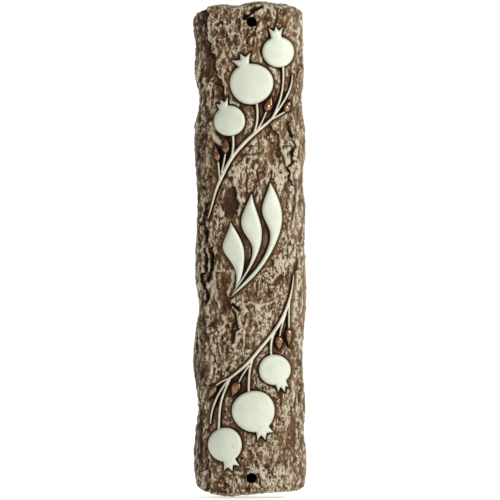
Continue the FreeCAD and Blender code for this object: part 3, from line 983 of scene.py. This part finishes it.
def stone_finish():
    """Brown resin: dark wash and painted shade in the hollows, cream dry-brushed over the high spots."""
    f = Finish("stone_resin", Roughness=0.8, Specular_IOR_Level=0.14)
    fine = f.noise(0.52, 3, 0.7, swirl=1.2)
    fibres = f.noise(0.58, 4, 0.7, 0.5, 1.4)
    squiggles = f.math("ABSOLUTE", f.math("SUBTRACT", f.noise(1.6, 4, 0.6, 0.5, 2), 0.5))
    broad = f.noise(6, 3, 0.55)
    streaks = f.noise(1, 3, 0.6, 0.12)
    margin = f.mask("margin")
    calm = f.mask("calm")
    pale = f.mask("pale")
    detail = f.sum((fine, 2), (fibres, 2.1), (squiggles, -7.2))
    detail = f.times(f.math("SUBTRACT", detail, 1.48), f.span(calm, 0, 1, 1, 0.3))
    detail = f.times(detail, f.span(pale, 0, 1, 1, 0.85))
    tone = f.math("ADD", f.mask("tone"), detail)
    warm = f.blend(f.span(broad, 0.38, 0.62), (109, 72, 47), (124, 96, 66))
    side = f.blend(f.span(streaks, 0.35, 0.65), (92, 74, 58), (128, 112, 94))
    base = f.blend(f.times(margin, 0.75), warm, side)
    base = f.blend(f.times(pale, 0.68), base, (155, 131, 104))
    base = f.blend(f.times(calm, 0.7), base, (88, 56, 36))
    base = f.blend(f.span(tone, -0.05, 0.5, 0, 0.45), base, (152, 127, 92))
    # darker where the relief lies low against its surroundings: dark wash and painted shade
    shade = f.times(f.span(tone, 0.05, -0.85, 0, 0.88), f.span(pale, 0, 1, 1, 0.65))
    base = f.blend(shade, base, (44, 25, 12))
    reach = f.times(f.mask("cream"), -0.85)
    low = f.math("ADD", reach, 0.46)
    high = f.math("ADD", reach, 1)
    light = f.times(f.span(tone, low, high), f.span(calm, 0, 1, 0.9, 0.3))
    crest = f.times(f.mask("ridge"), f.span(fibres, 0.25, 0.6, 0.65, 1))
    light = f.math("MAXIMUM", light, crest)
    base = f.blend(light, base, (219, 209, 182))
    # near black in cracks, at step feet, round and between the ornaments: dark wash and painted shade
    base = f.blend(f.span(f.mask("wash_and_shade"), 0.12, 0.8, 0, 0.95), base, (24, 12, 5))
    f.colour(base)
    f.roughness(light, 0.68, 0.88, 0, 1)
    f.bump(detail, 0.22, 1)
    return f.material


def raw_finish():
    """Bare cast resin of the back and the cavity, sanded flat, with casting pinholes."""
    f = Finish("raw_resin", Roughness=0.6)
    swirl = f.noise(9, 4, 0.6)
    scratch = f.noise(0.5, 3, 0.6, 0.06)
    pin = f.span(f.cells(1.7), 0.06, 0.14)
    tint = f.blend(f.span(swirl), (150, 128, 100), (176, 155, 126))
    tint = f.blend(f.span(scratch, 0.45, 0.75, 0, 0.35), tint, (198, 180, 152))
    # pinholes painted dark brown: painted shade in the pits
    f.colour(f.blend(pin, (84, 66, 48), tint))
    f.roughness(scratch, 0.5, 0.75)
    f.bump(f.sum((scratch, 0.5), (pin, 0.8)), 0.12, 0.6)
    return f.material


def bore_finish():
    """Near-black paint in the screw holes: painted shade."""
    f = Finish("bore_painted_shade", Roughness=0.8)
    f.colour(f.blend(f.noise(0.8), (10, 6, 4), (30, 20, 13)))
    f.bump(f.noise(0.6), 0.1, 0.5)
    return f.material


def cream_finish(name, light, shade):
    """Satin ivory paint with a faint mottle, browner towards the outline: brown wash caught along the foot
    and painted shade on the rounded edge.
    """
    f = Finish(name, Roughness=0.42, Specular_IOR_Level=0.5)
    mottle = f.noise(4.5, 4, 0.6)
    grain = f.noise(0.5, 3, 0.6)
    tint = f.blend(f.span(mottle), shade, light)
    tint = f.blend(f.span(grain, 0.55, 0.8, 0, 0.25), tint, (196, 196, 176))
    # browner towards the outline: brown wash and painted shade
    f.colour(f.blend(f.times(f.mask("rim"), 0.4), tint, (150, 128, 98)))
    f.roughness(grain, 0.34, 0.52)
    f.bump(f.sum((grain, 0.4), (mottle, 0.6)), 0.06, 0.5)
    return f.material


def copper_finish():
    """Copper paint rubbed over brown, darkest at the foot, in the furrow and on the tail, where shade is
    painted in.
    """
    f = Finish("copper_paint", Roughness=0.25, Metallic=0.8)
    flake = f.noise(0.35, 3, 0.7)
    rub = f.noise(1.4, 3, 0.6)
    tint = f.blend(f.span(rub), (118, 84, 60), (156, 118, 88))
    tint = f.blend(f.span(flake, 0.5, 0.8, 0, 0.2), tint, (216, 174, 142))
    # near black at the foot, in the furrow and on the tail: painted shade, with some brown wash at the
    # foot
    f.colour(f.blend(f.times(f.mask("rim"), 0.72), tint, (52, 28, 14)))
    f.roughness(flake, 0.2, 0.34)
    f.bump(flake, 0.015, 0.4)
    return f.material


def cover_finish():
    """Moulded plastic with a fine spark-eroded grain."""
    f = Finish("cover_plastic", Roughness=0.5)
    grain = f.noise(0.3, 2, 0.6)
    cloud = f.noise(14, 3, 0.5)
    f.colour(f.blend(f.span(cloud), (192, 180, 152), (204, 193, 167)))
    f.roughness(grain, 0.42, 0.6)
    f.bump(grain, 0.04, 0.6)
    return f.material


def parchment_finish():
    """Scraped skin: pale tan with pores and faint stretch lines."""
    f = Finish("parchment", Roughness=0.7)
    cloud = f.noise(8, 4, 0.6)
    fibre = f.noise(0.5, 4, 0.65, 0.2)
    tint = f.blend(f.span(cloud), (204, 178, 132), (222, 200, 158))
    f.colour(f.blend(f.span(fibre, 0.5, 0.8, 0, 0.4), tint, (196, 170, 126)))
    f.roughness(fibre, 0.6, 0.8)
    f.bump(fibre, 0.06, 0.6)
    return f.material


def film_finish():
    """Thin clear film, a little crinkled."""
    f = Finish("clear_film", Roughness=0.08, IOR=1.45, Alpha=0.14)
    crinkle = f.noise(2, 3, 0.6, 0.4)
    f.colour(f.blend(f.span(crinkle), (240, 244, 246), (250, 252, 252)))
    f.roughness(crinkle, 0.05, 0.14)
    f.bump(crinkle, 0.15, 0.6)
    return f.material


# ==== stage, light and camera ====

def cyclorama(width, near_y, floor_z, bend_y, radius, height):
    """Floor that curves up into a backdrop."""
    angles = np.linspace(0, math.pi / 2, 24)
    profile = [(near_y, floor_z)]
    profile += [(bend_y + radius * math.sin(a), floor_z + radius * (1 - math.cos(a))) for a in angles]
    profile += [(bend_y + radius, floor_z + height)]
    points = np.array([(x, y, z) for y, z in profile for x in (-width / 2, width / 2)])
    faces = [[2 * i, 2 * i + 1, 2 * i + 3, 2 * i + 2] for i in range(len(profile) - 1)]
    return make_object("backdrop", points / MM, faces)


def build_stage():
    """Pale floor and backdrop, and black discs in the screw holes: painted shadow that keeps light out of
    them.
    """
    floor_z = cad_box[0].z - 0.5 * MM
    backdrop = cyclorama(width=10.0, near_y=-3.0, floor_z=floor_z, bend_y=3.0, radius=1.5, height=4.0)
    glow = {"Emission_Color": (1, 1, 1, 1), "Emission_Strength": 0.6}
    f = Finish("backdrop_paint", Roughness=1, Specular_IOR_Level=0, **glow)
    f.colour(f.blend(f.noise(400.0), (244, 244, 244), (248, 248, 248)))
    backdrop.data.materials.append(f.material)
    # black discs deep in the screw holes: painted shadow
    black = Finish("hole_shadow_black", Roughness=1, Specular_IOR_Level=0, Base_Color=(0, 0, 0, 1))
    card_radius = HOLE_RADIUS - 0.02
    card_y = -4.0
    card_thickness = 0.4
    for name, z in (("upper_hole_shadow_disc", HOLE_Z), ("lower_hole_shadow_disc", -HOLE_Z)):
        card = plug(name, circle_ring(card_radius, z), card_y, card_y - card_thickness)
        card.data.materials.append(black.material)


def area_light(name, place, size, energy):
    """White square light that shines at the origin."""
    light = bpy.data.lights.new(name, "AREA")
    light.size = size
    light.energy = energy
    lamp = add_object(name, light)
    lamp.location = place
    lamp.rotation_euler = (-Vector(place)).to_track_quat("-Z", "Y").to_euler()


def build_lights():
    """Soft white surroundings that the camera sees as plain white, and three lights."""
    world = bpy.data.worlds.new("studio")
    world.use_nodes = True
    links = world.node_tree.links
    shaders = world.node_tree.nodes
    background = shaders["Background"]
    seen = shaders.new("ShaderNodeBackground")
    for node, strength in ((background, 0.34), (seen, 1.0)):
        node.inputs["Color"].default_value = (1, 1, 1, 1)
        node.inputs["Strength"].default_value = strength
    rays = shaders.new("ShaderNodeLightPath")
    mix = shaders.new("ShaderNodeMixShader")
    links.new(rays.outputs["Is Camera Ray"], mix.inputs[0])
    links.new(background.outputs[0], mix.inputs[1])
    links.new(seen.outputs[0], mix.inputs[2])
    links.new(mix.outputs[0], shaders["World Output"].inputs["Surface"])
    bpy.context.scene.world = world
    area_light("key", (1.0, -0.58, 0.5), size=0.3, energy=13.0)
    area_light("fill", (-0.5, -1.0, 0.4), size=0.8, energy=1.1)
    area_light("back", (0.4, 0.9, 0.6), size=0.8, energy=2.6)


def build_camera():
    """Straight in front, far enough to flatten the perspective."""
    data = bpy.data.cameras.new("camera")
    camera = add_object("camera", data)
    away = 1.5
    aside = -0.6 * MM
    front_y = 16.5 * MM       # about where the front's relief lies
    frame_width = 182.2 * MM  # what the picture spans there
    data.sensor_width = 36
    data.lens = data.sensor_width * (away - front_y) / frame_width
    camera.location = (aside, -away, 0.0)
    camera.rotation_euler = (math.pi / 2, 0, 0)
    data.clip_start = 0.01
    bpy.context.scene.camera = camera


# ==== putting it together ====

def finish_piece(piece, material, body, slot, *replaced):
    """Paints a piece, ties it to its body and hides the CAD nodes that it replaces."""
    if material is not None:
        piece.data.materials.clear()
        piece.data.materials.append(material)
    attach(piece, body)
    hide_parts(*replaced)


def main():
    """Builds the pieces, the stage, the lights and the camera."""
    others = ("case_shell", "back_cover", "parchment_scroll", "scroll_sleeve")
    outlines = {name: outline(name) for name in sorted(nodes) if name not in others}
    shell = build_shell(outlines)
    paint_shell(shell, stone_finish(), raw_finish(), bore_finish())
    finish_piece(shell, None, "case", "stone_resin", "case_shell")
    fruit_cream = cream_finish("cream_enamel", (199, 203, 186), (190, 195, 175))
    stem_cream = cream_finish("cream_stem", (208, 204, 185), (192, 186, 164))
    copper = copper_finish()
    for node, piece in build_ornaments(outlines).items():
        if node.startswith("bud"):
            finish_piece(piece, copper, "case", "copper_paint", node)
        else:
            cream = stem_cream if node.endswith("branch") else fruit_cream
            finish_piece(piece, cream, "case", "cream_enamel", node)
    finish_piece(build_cover(), cover_finish(), "cover", "cover_plastic", "back_cover")
    finish_piece(build_scroll(), parchment_finish(), "scroll", "parchment", "parchment_scroll")
    finish_piece(build_film(), film_finish(), "scroll", "clear_film", "scroll_sleeve")
    build_stage()
    build_lights()
    build_camera()
    bpy.context.scene.view_settings.view_transform = "Standard"


main()
